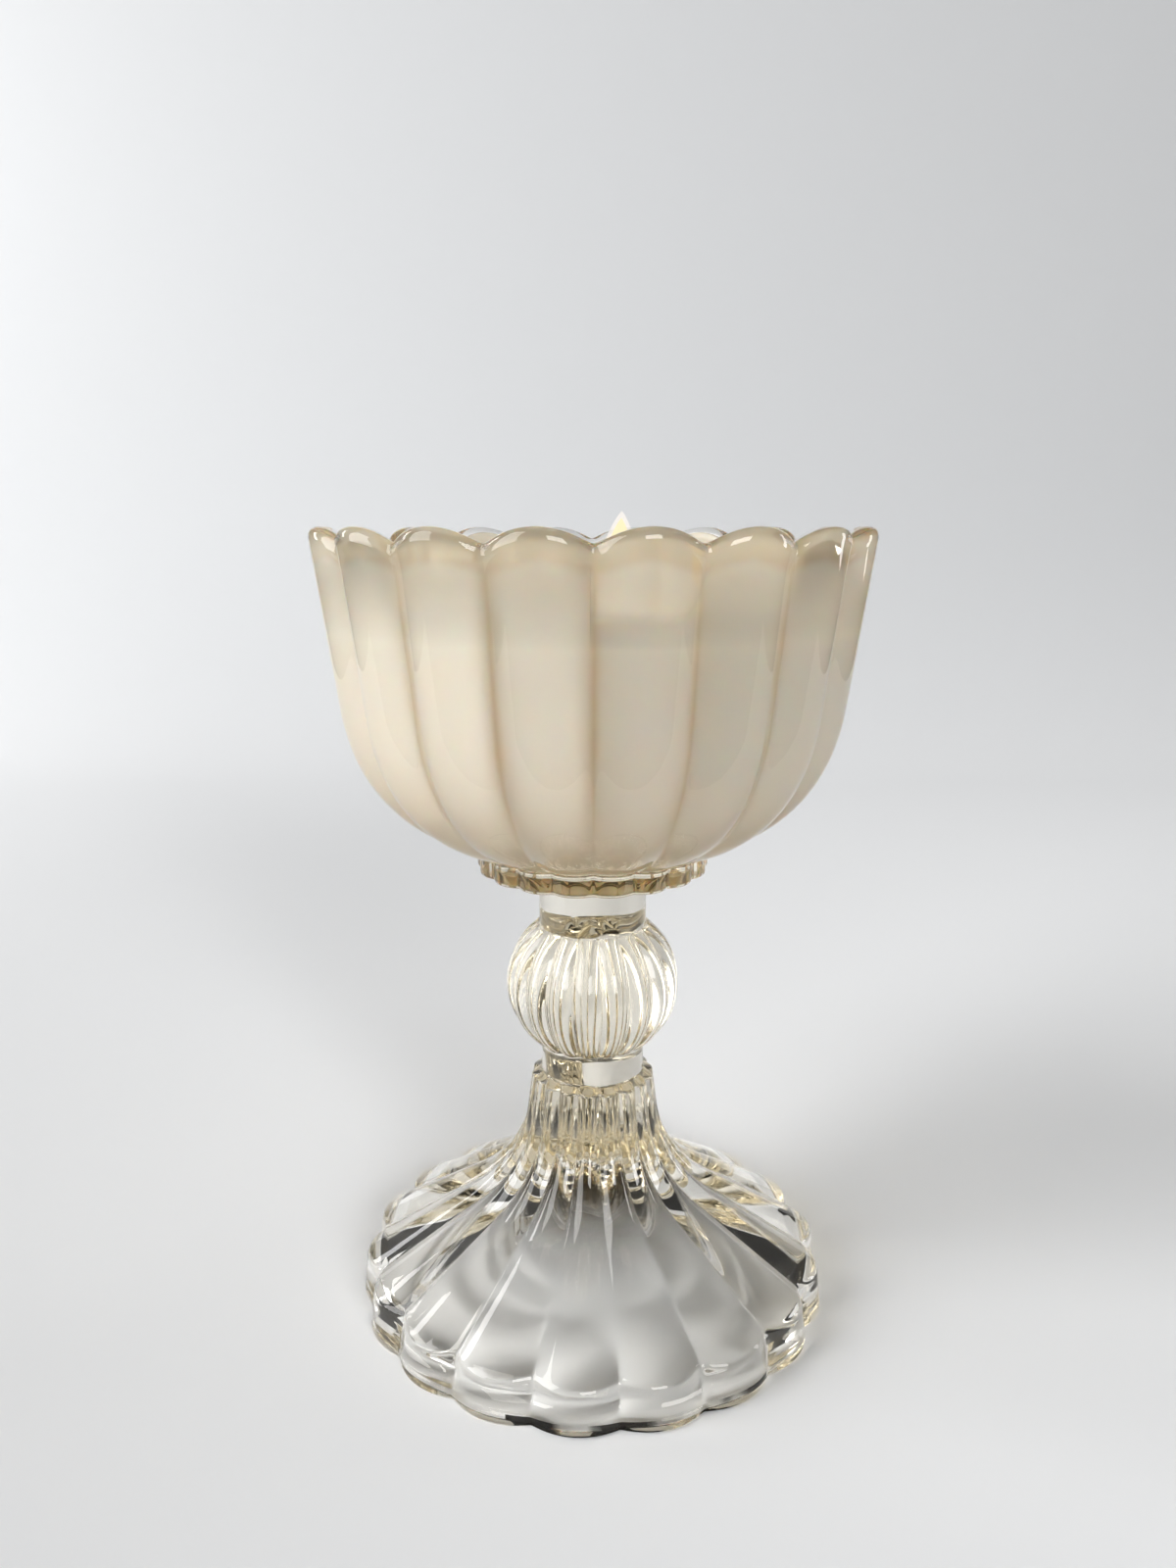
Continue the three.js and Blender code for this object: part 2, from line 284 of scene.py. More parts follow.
def pressedSodaGlass(p):
    # soda-lime glass, pressed hot and fire polished: clear and glossy, straw where light runs far in it,
    # with painted shade, a smoky dark, high on the ceiling of the hollow foot,
    # and painted shade in dark patches along the front of the ring that it rests on
    look = glassLook
    material, tree, output = newMaterial("pressedSodaGlass")
    place = addNode(tree, "ShaderNodeTexCoord").outputs["Object"]
    axes = addNode(tree, "ShaderNodeSeparateXYZ", {0: place}).outputs
    flat = addNode(tree, "ShaderNodeCombineXYZ", {"X": axes["X"], "Y": axes["Y"]})
    radius = addNode(tree, "ShaderNodeVectorMath", {0: flat.outputs[0]}, operation="LENGTH")
    # the hollow is what lies well inside the line of the bell
    fall = (p["shoulderRadius"] - p["waistRadius"]) / (p["waistHeight"] - p["skirtHeight"])
    bell = addNode(tree, "ShaderNodeMath", {
        0: axes["Z"], 1: -fall, 2: (p["shoulderRadius"] + fall * p["skirtHeight"] - p["bellWall"]) * mm,
    }, operation="MULTIPLY_ADD")
    inside = addNode(tree, "ShaderNodeMath", {
        0: bell.outputs[0], 1: radius.outputs["Value"],
    }, operation="GREATER_THAN")
    # painted shade: the hollow's ceiling turns smoky dark towards its top
    high = addNode(tree, "ShaderNodeMapRange", {
        "Value": axes["Z"], "From Min": look["hollowShadeFrom"] * mm, "From Max": look["hollowShadeTo"] * mm,
    }, interpolation_type="SMOOTHSTEP")
    hollowShadeMask = addNode(tree, "ShaderNodeMath", {
        0: inside.outputs[0], 1: high.outputs["Result"],
    }, operation="MULTIPLY")
    tint = addNode(tree, "ShaderNodeMix", {
        0: hollowShadeMask.outputs[0], 6: linear(look["clear"]), 7: linear(look["hollowShade"]),
    }, data_type="RGBA")
    glass = addNode(tree, "ShaderNodeBsdfPrincipled", {
        "Base Color": tint.outputs[2], "Roughness": look["roughness"], "IOR": look["ior"],
        "Transmission Weight": 1,
    })
    # painted shade in dark patches, kept to the front of the ring where it meets the paper
    ringShadeSpots = addNode(tree, "ShaderNodeTexNoise", {"Vector": place, "Scale": 1 / (look["ringShadeSpot"] * mm)})
    ringShadeMask = addNode(tree, "ShaderNodeMapRange", {
        "Value": ringShadeSpots.outputs["Fac"], "From Min": look["ringShadeCoverFrom"], "From Max": look["ringShadeCoverTo"],
    }).outputs["Result"]
    for axis, edge, operation in (
        ("Z", look["ringShadeTop"], "LESS_THAN"), ("Y", 0, "LESS_THAN"),
        ("X", look["ringShadeFrom"], "GREATER_THAN"), ("X", look["ringShadeTo"], "LESS_THAN"),
    ):
        within = addNode(tree, "ShaderNodeMath", {0: axes[axis], 1: edge * mm}, operation=operation)
        ringShadeMask = addNode(tree, "ShaderNodeMath", {
            0: ringShadeMask, 1: within.outputs[0],
        }, operation="MULTIPLY").outputs[0]
    # painted shade: a dark matt finish mixed in over the patches
    ringShade = addNode(tree, "ShaderNodeBsdfDiffuse", {"Color": linear(look["ringShade"])})
    skin = addNode(tree, "ShaderNodeMixShader", {0: ringShadeMask, 1: glass.outputs[0], 2: ringShade.outputs[0]})
    straw = addNode(tree, "ShaderNodeVolumeAbsorption", {
        "Color": linear(look["straw"]), "Density": look["strawDensity"],
    })
    tree.links.new(skin.outputs[0], output.inputs["Surface"])
    tree.links.new(straw.outputs[0], output.inputs["Volume"])
    return material


# painted shade: the tan colour, laid in bands beside the valleys, under the rim and low down
waxLook = {
    "cream": "#F9F1E5", "shadedTan": "#EDE0CA", "residue": "#FFFCF6", "roughness": 0.35, "ior": 1.44,
    "scatter": 0.4, "scatterDepth": 3, "scatterShares": (1, 0.7, 0.45),
    "flutes": 18, "mottle": 22, "wander": 1.5, "valleyBand": 0.8, "bandEdge": 1.2, "poolSkin": 0.3,
    "lipBand": 2.2, "lipEdge": 1, "dipWidth": 8, "lowBand": 106, "lowEdge": 16,
    "seeThrough": 0.6, "thinFrom": 0.8, "thinOver": 13,
    "leanOver": 5, "leanStart": -1, "leanFrom": 12, "leanTo": 18,
}


def pouredCreamWax(b, filmTop, pool, poolRadius):
    # soy and paraffin blend, poured and set: cream, with painted shade in tan
    # in the valleys, under the rim and towards the floor
    look = waxLook
    material, tree, output = newMaterial("pouredCreamWax")
    place = addNode(tree, "ShaderNodeTexCoord").outputs["Object"]
    axes = addNode(tree, "ShaderNodeSeparateXYZ", {0: place}).outputs
    turn = addNode(tree, "ShaderNodeMath", {0: axes["X"], 1: axes["Y"]}, operation="ARCTAN2")
    flat = addNode(tree, "ShaderNodeCombineXYZ", {"X": axes["X"], "Y": axes["Y"]})
    radius = addNode(tree, "ShaderNodeVectorMath", {0: flat.outputs[0]}, operation="LENGTH")
    # distance along the wall to the nearest valley, with a wandering edge
    away = addNode(tree, "ShaderNodeMath", {
        0: turn.outputs[0], 1: math.pi / look["flutes"],
    }, operation="PINGPONG")
    across = addNode(tree, "ShaderNodeMath", {
        0: away.outputs[0], 1: radius.outputs["Value"],
    }, operation="MULTIPLY")
    mottle = addNode(tree, "ShaderNodeTexNoise", {
        "Vector": place, "Scale": 1 / (look["mottle"] * mm), "Detail": 3,
    })
    wander = addNode(tree, "ShaderNodeMapRange", {
        "Value": mottle.outputs["Fac"], "To Min": -look["wander"] * mm, "To Max": look["wander"] * mm,
    })
    edge = addNode(tree, "ShaderNodeMath", {
        0: across.outputs[0], 1: wander.outputs["Result"],
    }, operation="ADD")
    # painted shade: a tan band beside each valley of the flutes
    band = addNode(tree, "ShaderNodeMapRange", {
        "Value": edge.outputs[0], "From Min": (look["valleyBand"] + look["bandEdge"]) * mm,
        "From Max": (look["valleyBand"] - look["bandEdge"]) * mm,
    }, interpolation_type="SMOOTHSTEP")
    # the pool's open surface has no bands
    underPool = addNode(tree, "ShaderNodeMath", {
        0: axes["Z"], 1: (pool - look["poolSkin"]) * mm,
    }, operation="LESS_THAN")
    byWall = addNode(tree, "ShaderNodeMath", {
        0: radius.outputs["Value"], 1: poolRadius * mm,
    }, operation="GREATER_THAN")
    onWall = addNode(tree, "ShaderNodeMath", {
        0: underPool.outputs[0], 1: byWall.outputs[0],
    }, operation="MAXIMUM")
    inValley = addNode(tree, "ShaderNodeMath", {
        0: band.outputs["Result"], 1: onWall.outputs[0],
    }, operation="MULTIPLY")
    # the painted shade under the rim dips with the scallops
    dip = addNode(tree, "ShaderNodeMapRange", {
        "Value": across.outputs[0], "From Min": 0, "From Max": look["dipWidth"] * mm,
        "To Min": b["rimScallop"] * mm, "To Max": 0,
    })
    level = addNode(tree, "ShaderNodeMath", {0: axes["Z"], 1: dip.outputs["Result"]}, operation="ADD")
    atLip = addNode(tree, "ShaderNodeMapRange", {
        "Value": level.outputs[0], "From Min": (filmTop - look["lipBand"] - look["lipEdge"]) * mm,
        "From Max": (filmTop - look["lipBand"] + look["lipEdge"]) * mm,
    }, interpolation_type="SMOOTHSTEP")
    # painted shade: tan low down, towards the bowl's floor
    low = addNode(tree, "ShaderNodeMapRange", {
        "Value": axes["Z"], "From Min": (look["lowBand"] + look["lowEdge"]) * mm,
        "From Max": (look["lowBand"] - look["lowEdge"]) * mm,
    }, interpolation_type="SMOOTHSTEP")
    # painted shade: the three bands together, mixing cream to tan
    paintedShade = inValley
    for zone in (atLip, low):
        paintedShade = addNode(tree, "ShaderNodeMath", {
            0: paintedShade.outputs[0], 1: zone.outputs["Result"],
        }, operation="MAXIMUM")
    tone = addNode(tree, "ShaderNodeMix", {
        0: paintedShade.outputs[0], 6: linear(look["cream"]), 7: linear(look["shadedTan"]),
    }, data_type="RGBA")
    wax = addNode(tree, "ShaderNodeBsdfPrincipled", {
        "Base Color": tone.outputs[2], "Roughness": look["roughness"], "IOR": look["ior"],
        "Subsurface Weight": look["scatter"], "Subsurface Radius": look["scatterShares"],
        "Subsurface Scale": look["scatterDepth"] * mm,
    })
    # the residue over the pool thins towards the rim, soonest on the side to which the flame leans
    lean = addNode(tree, "ShaderNodeMapRange", {
        "Value": axes["X"], "From Min": look["leanTo"] * mm, "From Max": look["leanFrom"] * mm,
        "To Min": look["thinOver"] * mm, "To Max": look["leanOver"] * mm,
    }, interpolation_type="SMOOTHSTEP")
    rightHalf = addNode(tree, "ShaderNodeMath", {
        0: axes["X"], 1: look["leanStart"] * mm,
    }, operation="GREATER_THAN")
    frontHalf = addNode(tree, "ShaderNodeMath", {0: axes["Y"], 1: 0}, operation="LESS_THAN")
    leaning = addNode(tree, "ShaderNodeMath", {
        0: rightHalf.outputs[0], 1: frontHalf.outputs[0],
    }, operation="MULTIPLY")
    over = addNode(tree, "ShaderNodeMix", {
        0: leaning.outputs[0], 2: look["thinOver"] * mm, 3: lean.outputs["Result"],
    })
    rise = addNode(tree, "ShaderNodeMath", {
        0: axes["Z"], 1: (pool + look["thinFrom"]) * mm,
    }, operation="SUBTRACT")
    thin = addNode(tree, "ShaderNodeMapRange", {
        "Value": rise.outputs[0], "From Min": 0, "From Max": over.outputs[0], "To Max": look["seeThrough"],
    })
    clear = addNode(tree, "ShaderNodeBsdfTransparent", {"Color": linear(look["residue"])})
    residue = addNode(tree, "ShaderNodeMixShader", {
        0: thin.outputs["Result"], 1: wax.outputs[0], 2: clear.outputs[0],
    })
    tree.links.new(residue.outputs[0], output.inputs["Surface"])
    return material


wickLook = {
    "waxed": "#B79A72", "scorched": "#3A2A1E", "char": "#14110F", "ash": "#57524C", "roughness": 0.92,
    "soakedDepth": 0.5, "charredShare": 0.5, "scorchedAt": 0.3,
    "fibre": 0.25, "fuzz": 0.1, "fuzzStrength": 0.8, "ashFrom": 0.55, "ashTo": 0.75, "ashCover": 0.5,
}


def charredCotton(pool, stand):
    # braided cotton: wax-soaked tan in the pool, scorched brown above it,
    # black char with grey ash at the tip
    look = wickLook
    material, tree, output = newMaterial("charredCotton")
    place = addNode(tree, "ShaderNodeTexCoord").outputs["Object"]
    height = addNode(tree, "ShaderNodeSeparateXYZ", {0: place}).outputs["Z"]
    burnt = addNode(tree, "ShaderNodeMapRange", {
        "Value": height, "From Min": (pool - look["soakedDepth"]) * mm,
        "From Max": (pool + stand * look["charredShare"]) * mm,
    })
    ramp = addNode(tree, "ShaderNodeValToRGB", {0: burnt.outputs["Result"]})
    ramp.color_ramp.elements[0].color = linear(look["waxed"])
    ramp.color_ramp.elements[1].color = linear(look["char"])
    ramp.color_ramp.elements.new(look["scorchedAt"]).color = linear(look["scorched"])
    fibre = addNode(tree, "ShaderNodeTexNoise", {
        "Vector": place, "Scale": 1 / (look["fibre"] * mm), "Detail": 4,
    })
    ashy = addNode(tree, "ShaderNodeMapRange", {
        "Value": fibre.outputs["Fac"], "From Min": look["ashFrom"], "From Max": look["ashTo"],
        "To Max": look["ashCover"],
    })
    tone = addNode(tree, "ShaderNodeMix", {
        0: ashy.outputs["Result"], 6: ramp.outputs[0], 7: linear(look["ash"]),
    }, data_type="RGBA")
    fuzz = addNode(tree, "ShaderNodeBump", {
        "Height": fibre.outputs["Fac"], "Distance": look["fuzz"] * mm, "Strength": look["fuzzStrength"],
    })
    cotton = addNode(tree, "ShaderNodeBsdfPrincipled", {
        "Base Color": tone.outputs[2], "Roughness": look["roughness"], "Normal": fuzz.outputs[0],
    })
    tree.links.new(cotton.outputs[0], output.inputs["Surface"])
    return material


tinLook = {"grey": "#C3C5C6", "rollingLine": 0.3, "lineStretch": 0.04, "dullFrom": 0.22, "dullTo": 0.42}


def stampedTinplate():
    # thin tinned steel, rolled and stamped: soft grey mirror with fine rolling lines
    look = tinLook
    material, tree, output = newMaterial("stampedTinplate")
    place = addNode(tree, "ShaderNodeTexCoord").outputs["Object"]
    rolled = addNode(tree, "ShaderNodeMapping", {"Vector": place, "Scale": (1, look["lineStretch"], 1)})
    lines = addNode(tree, "ShaderNodeTexNoise", {
        "Vector": rolled.outputs[0], "Scale": 1 / (look["rollingLine"] * mm), "Detail": 2,
    })
    dull = addNode(tree, "ShaderNodeMapRange", {
        "Value": lines.outputs["Fac"], "To Min": look["dullFrom"], "To Max": look["dullTo"],
    })
    tin = addNode(tree, "ShaderNodeBsdfPrincipled", {
        "Base Color": linear(look["grey"]), "Metallic": 1, "Roughness": dull.outputs["Result"],
    })
    tree.links.new(tin.outputs[0], output.inputs["Surface"])
    return material


foamLook = {
    "skin": "#F4F2EC", "cellWall": "#DEDBD2", "cell": 0.35, "dent": 0.08, "dentStrength": 0.6,
    "roughness": 0.85,
}


def foamSticker():
    # die-cut polyethylene foam: white, matt, with small closed cells
    look = foamLook
    material, tree, output = newMaterial("foamSticker")
    place = addNode(tree, "ShaderNodeTexCoord").outputs["Object"]
    cells = addNode(tree, "ShaderNodeTexVoronoi", {
        "Vector": place, "Scale": 1 / (look["cell"] * mm),
    }).outputs["Distance"]
    dents = addNode(tree, "ShaderNodeBump", {
        "Height": cells, "Distance": look["dent"] * mm, "Strength": look["dentStrength"],
    })
    tone = addNode(tree, "ShaderNodeMix", {
        0: cells, 6: linear(look["skin"]), 7: linear(look["cellWall"]),
    }, data_type="RGBA")
    foam = addNode(tree, "ShaderNodeBsdfPrincipled", {
        "Base Color": tone.outputs[2], "Roughness": look["roughness"], "Normal": dents.outputs[0],
    })
    tree.links.new(foam.outputs[0], output.inputs["Surface"])
    return material


adhesiveLook = {"tint": "#FBF9F0", "ior": 1.5, "hazeLength": 1.5, "hazeFrom": 0.02, "hazeTo": 0.12}


def clearAdhesive():
    # light-cured acrylic: clear like the glass, a little hazy where it squeezed out
    look = adhesiveLook
    material, tree, output = newMaterial("clearAdhesive")
    place = addNode(tree, "ShaderNodeTexCoord").outputs["Object"]
    haze = addNode(tree, "ShaderNodeTexNoise", {
        "Vector": place, "Scale": 1 / (look["hazeLength"] * mm), "Detail": 2,
    })
    dull = addNode(tree, "ShaderNodeMapRange", {
        "Value": haze.outputs["Fac"], "To Min": look["hazeFrom"], "To Max": look["hazeTo"],
    })
    resin = addNode(tree, "ShaderNodeBsdfPrincipled", {
        "Base Color": linear(look["tint"]), "Roughness": dull.outputs["Result"], "IOR": look["ior"],
        "Transmission Weight": 1,
    })
    tree.links.new(resin.outputs[0], output.inputs["Surface"])
    return material


# Pedestal: hollow foot, fluted bell, collar, necks and ribbed ball in one pressing

pedestal = {
    "turn": 6, "ripple": 0.012, "rippleLength": 9,
    "footRadius": 46, "footFlute": 1.9, "footRound": 1.2, "skirtHeight": 8.4,
    "shoulderRadius": 45.2, "shoulderRound": 0.9, "shoulderFlute": 2.6,
    "waistRadius": 14.2, "waistHeight": 27, "waistFlute": 1.7, "lowerBlend": 0.34, "upperBlend": 0.6,
    "collarRadius": 11.9, "collarHeight": 45.1, "collarFlute": 0.8, "collarRound": 0.5,
    "bellWall": 5.5, "hollowTop": 26, "hollowMouth": 42.2, "mouthRound": 1.2,
    "brimBend": 0.7, "brimFoot": 0.4, "brimEdge": 0.5, "edgeRound": 0.25,
    "shelfRise": 1, "shelfRound": 0.4, "lowerNeckRadius": 9.9, "upperNeckRadius": 10.2,
    "ballFoot": 52.2, "ballHeight": 23.4, "ballRadius": 16.6, "ballSeatRadius": 10.8, "ballSteps": 40,
    "ribDepth": 1.3, "ribEndDepth": 0.7, "ribFade": 4, "top": 86.58, "topRound": 0.5,
}


def hollowPath(p, shoulder, waist):  # plunger's side of the bell, an even wall below the outside
    slope = (shoulder - waist).normalized()
    wall = knot(-slope[1], slope[0]) * p["bellWall"]
    upper = waist.lerp(shoulder, p["lowerBlend"]) - wall
    lower = shoulder - wall
    fall = (upper[1] - lower[1]) / (lower[0] - upper[0])
    edge = p["hollowMouth"] - p["mouthRound"]
    brim = knot(edge, upper[1] - fall * (edge - upper[0]))
    turn = knot(p["hollowMouth"], brim[1] * p["brimBend"])
    tip = knot(upper[0] - (p["hollowTop"] - upper[1]) / fall, p["hollowTop"])
    path = bend(knot(0, p["hollowTop"]), tip, upper, steps=34)
    path += bend(brim, turn, knot(p["hollowMouth"], p["brimFoot"]), steps=8)
    return [knot(at[0], at[1]) for at in path]


def ballPath(p):  # ribs are deepest round the middle of the ball
    middle = p["ballFoot"] + p["ballHeight"] / 2
    spread = math.acos(p["ballSeatRadius"] / p["ballRadius"])
    rise = p["ballHeight"] / 2 / math.sin(spread)
    path = []
    for i in range(p["ballSteps"] + 1):
        share = 2 * i / p["ballSteps"] - 1
        depth = p["ribEndDepth"] + (p["ribDepth"] - p["ribEndDepth"]) * (1 - share ** p["ribFade"])
        turn = share * spread
        path.append(knot(p["ballRadius"] * math.cos(turn), middle + rise * math.sin(turn), depth))
    return path


def pedestalProfile(p):
    shoulder = knot(p["shoulderRadius"], p["skirtHeight"], p["shoulderFlute"])
    collar = knot(p["collarRadius"], p["collarHeight"], p["collarFlute"])
    waist = knot(p["waistRadius"], p["waistHeight"], p["waistFlute"])
    bellFoot = waist.lerp(shoulder, p["lowerBlend"])
    bellTop = waist.lerp(collar, p["upperBlend"])
    return roundedPath([
        *smooth(hollowPath(p, shoulder, waist)),
        (knot(p["hollowMouth"] + p["brimEdge"], 0), p["edgeRound"]),
        (knot(p["footRadius"], 0, p["footFlute"]), p["footRound"]),
        (shoulder, p["shoulderRound"]),
        *smooth(bend(bellFoot, waist, bellTop, steps=30)),
        (collar, p["collarRound"]),
        (knot(p["lowerNeckRadius"], p["collarHeight"] + p["shelfRise"]), p["shelfRound"]),
        (knot(p["lowerNeckRadius"], p["ballFoot"]), p["edgeRound"]),
        *smooth(ballPath(p)),
        (knot(p["upperNeckRadius"], p["ballFoot"] + p["ballHeight"]), p["edgeRound"]),
        (knot(p["upperNeckRadius"], p["top"]), p["topRound"]),
        (knot(0, p["top"]), 0),
    ])


glass = pressedSodaGlass(pedestal)
glassPedestal = pressed(
    "glassPedestal", pedestalProfile(pedestal), glass, turn=pedestal["turn"],
    ripple=pedestal["ripple"], rippleLength=pedestal["rippleLength"],
)
seat(glassPedestal, "glass_pedestal")

# Bowl: lobed foot ring, fluted belly and wall, scalloped fire-polished rim, shallow flutes inside

bowl = {
    "valleyRound": 0.08, "ripple": 0.03, "rippleLength": 14,
    "seat": 86.92, "ringRadius": 21.8, "ringFlute": 1.1, "ringRound": 0.9, "ringTop": 91.1,
    "bellyTurn": 98.1, "wallFoot": 119, "wallFootRadius": 46, "rim": 149.7, "rimRadius": 50.3,
    "rimFlute": 2.7, "rimScallop": 2.4, "scallopFade": 9, "rimRound": 2.2, "rimWall": 4.4, "footWall": 4.7,
    "innerFlute": 0.6, "innerFluteFoot": 0.4, "floor": 97.7, "floorRadius": 14,
}


def insideKnot(b, height, drop=0, out=0):  # a point of the bowl's straight inner wall
    footInside, rimInside = b["wallFootRadius"] - b["footWall"], b["rimRadius"] - b["rimWall"]
    radius = along(height, b["wallFoot"], b["rim"], footInside, rimInside)
    flute = along(height, b["floor"], b["rim"], b["innerFluteFoot"], b["innerFlute"])
    return knot(radius + out, height, flute, drop)


def outsideKnot(b, height, drop=0):  # a point of its straight outer wall
    radius = along(height, b["wallFoot"], b["rim"], b["wallFootRadius"], b["rimRadius"])
    flute = along(radius, b["ringRadius"], b["rimRadius"], b["ringFlute"], b["rimFlute"])
    return knot(radius, height, flute, drop)


def lipBends(b):  # the rounded lip, outer and inner half
    dip = b["rimScallop"]
    lip = b["rim"] - b["rimRound"]
    crown = knot(b["rimRadius"] - b["rimWall"] / 2, b["rim"], (b["rimFlute"] + b["innerFlute"]) / 2, dip)
    outer = bend(outsideKnot(b, lip, dip), outsideKnot(b, b["rim"], dip), crown)
    return outer, bend(crown, insideKnot(b, b["rim"], dip), insideKnot(b, lip, dip))


def bowlProfile(b):
    fade, lip = b["rim"] - b["scallopFade"], b["rim"] - b["rimRound"]
    outerLip, innerLip = lipBends(b)
    ringTop = knot(b["ringRadius"], b["ringTop"], b["ringFlute"])
    floorKnot = knot(b["floorRadius"], b["floor"])
    return roundedPath([
        (knot(0, b["seat"]), 0),
        (knot(b["ringRadius"], b["seat"], b["ringFlute"]), b["ringRound"]),
        *smooth(bend(ringTop, outsideKnot(b, b["bellyTurn"]), outsideKnot(b, b["wallFoot"]), steps=40)),
        *smooth(bend(outsideKnot(b, fade), outsideKnot(b, (fade + lip) / 2), outerLip[0])),
        *smooth(outerLip[1:]),
        *smooth(innerLip[1:]),
        *smooth(bend(innerLip[-1], insideKnot(b, (fade + lip) / 2), insideKnot(b, fade))[1:]),
        *smooth(bend(insideKnot(b, b["wallFoot"]), insideKnot(b, b["floor"]), floorKnot, steps=30)),
        (knot(0, b["floor"]), 0),
    ])


glassBowl = pressed(
    "glassBowl", bowlProfile(bowl), glass, valleyRound=bowl["valleyRound"],
    ripple=bowl["ripple"], rippleLength=bowl["rippleLength"],
)
seat(glassBowl, "glass_bowl")

# Candle: poured wax with a burnt well and a bore for the wick

candle = {
    "steps": 16, "valleyRound": 0.2, "longestStep": 1.2, "climbSteps": 8,
    "grip": 0.12, "filmTop": 147.3, "lipTop": 148.7, "filmTopThickness": 0.7, "filmThickness": 1.9,
    "pool": 131.3, "poolFillet": 1.6, "wickRadius": 1.2, "wickGrip": 0.1,
    "padRadius": 8.6, "padTop": 99, "crimpRadius": 1.95, "crimpTop": 104,
}


def scallopDip(b, height):  # how far the valleys of the rim pull a height down
    fade = b["rim"] - b["scallopFade"]
    return b["rimScallop"] * (max(0, height - fade) / (b["rim"] - b["rimRound"] - fade)) ** 2


def waxKnot(c, b, height, inward=0):  # a point of the wax on the glass, or of its free side
    return insideKnot(b, height, scallopDip(b, height), c["grip"] - inward)


def waxProfile(c, b):
    bore = c["wickRadius"] - c["wickGrip"]
    well = waxKnot(c, b, c["pool"] + c["poolFillet"], c["filmThickness"])
    pool = knot(well[0] - c["poolFillet"], c["pool"], well[2] / 2)
    lowFloor = b["floor"] - c["grip"]
    floorKnot = knot(b["floorRadius"], lowFloor)
    fade = b["rim"] - b["scallopFade"]
    climb = [along(i, 0, c["climbSteps"], fade, c["filmTop"]) for i in range(c["climbSteps"])]
    lip = [at for at in reversed(lipBends(b)[1]) if at[1] < c["lipTop"]]
    loop = [
        (knot(bore, c["pool"]), 0),
        (pool, 0),
        *smooth(bend(pool, knot(well[0], c["pool"], well[2]), well, steps=8)[1:]),
        *smooth([waxKnot(c, b, height, c["filmThickness"]) for height in climb]),
        *smooth([at + knot(c["grip"] - c["filmTopThickness"], 0) for at in lip]),
        *smooth([at + knot(c["grip"], 0) for at in reversed(lip)]),
        *smooth([waxKnot(c, b, height) for height in reversed(climb)]),
        *smooth(bend(waxKnot(c, b, b["wallFoot"]), waxKnot(c, b, lowFloor), floorKnot, steps=30)),
        (knot(c["padRadius"], lowFloor), 0),
        (knot(c["padRadius"], c["padTop"]), 0),
        (knot(c["crimpRadius"], c["padTop"]), 0),
        (knot(c["crimpRadius"], c["crimpTop"]), 0),
        (knot(bore, c["crimpTop"]), 0),
        (knot(bore, c["pool"]), 0),
    ]
    return roundedPath(loop, c["longestStep"])


poolRadius = insideKnot(bowl, candle["pool"])[0] - candle["filmThickness"] - candle["poolFillet"]
wax = pouredCreamWax(bowl, candle["filmTop"], candle["pool"], poolRadius)
candleWax = pressed(
    "candleWax", waxProfile(candle, bowl), wax, steps=candle["steps"], valleyRound=candle["valleyRound"],
)
seat(candleWax, "candle_wax")

# Wick: four strands braided each way round, straight in the wax, curling over above the pool

wick = {
    "foot": 98.8, "stand": 7, "curlRise": 4.2, "lean": 4.2, "radius": 1.12,
    "strands": 4, "strandDepth": 0.09, "pitch": 2.2, "tipShare": 0.35, "tipRings": 6, "around": 40,
    "hiddenRings": 8, "soaked": 3, "soakedRings": 20, "curlRings": 60,
}


def wickPath(w, pool):  # centre line as (x, z) in mm, finer where it shows
    soakedFoot = pool - w["soaked"]
    path = [(0, along(i, 0, w["hiddenRings"], w["foot"], soakedFoot)) for i in range(w["hiddenRings"])]
    path += [(0, soakedFoot + w["soaked"] * i / w["soakedRings"]) for i in range(w["soakedRings"])]
    for i in range(w["curlRings"] + 1):
        t = i / w["curlRings"]
        path.append((w["lean"] * t * t, pool + 2 * t * (1 - t) * w["curlRise"] + t * t * w["stand"]))
    return path


def braidedWick(w, pool, finish):
    path = wickPath(w, pool)
    corners, run = [], 0
    for i, (x, z) in enumerate(path):
        before, after = path[max(i - 1, 0)], path[min(i + 1, len(path) - 1)]
        slope = Vector((after[0] - before[0], 0, after[1] - before[1])).normalized()
        out = Vector((slope.z, 0, -slope.x))
        run += math.dist(before, (x, z))
        wind = math.tau * run / w["pitch"]
        taper = min(1, w["tipShare"] + (1 - w["tipShare"]) * (len(path) - 1 - i) / w["tipRings"])
        for j in range(w["around"]):
            turn = math.tau * j / w["around"]
            strand = max(math.cos(w["strands"] * turn + wind), math.cos(w["strands"] * turn - wind))
            reach = w["radius"] * taper * (1 + w["strandDepth"] * (strand - 1))
            corner = Vector((x, 0, z)) + (out * math.cos(turn) + Vector((0, 1, 0)) * math.sin(turn)) * reach
            corners.append(corner * mm)
    n = w["around"]
    faces = [
        (i * n + j, i * n + (j + 1) % n, (i + 1) * n + (j + 1) % n, (i + 1) * n + j)
        for i in range(len(path) - 1) for j in range(n)
    ]
    faces += [tuple(range(n)), tuple(range(len(corners) - n, len(corners)))]
    mesh = bpy.data.meshes.new("braidedWick")
    mesh.from_pydata(corners, [], faces)
    mesh.materials.append(finish)
    mesh.shade_smooth()
    faceOutward(mesh)
    piece = bpy.data.objects.new("braidedWick", mesh)
    scene.collection.objects.link(piece)
    print("made braidedWick with", len(mesh.polygons), "faces")
    return piece


cotton = charredCotton(candle["pool"], wick["stand"])
seat(braidedWick(wick, candle["pool"], cotton), "wick")

# Flame: a pale veil round a yellow heart, leaning with the wick

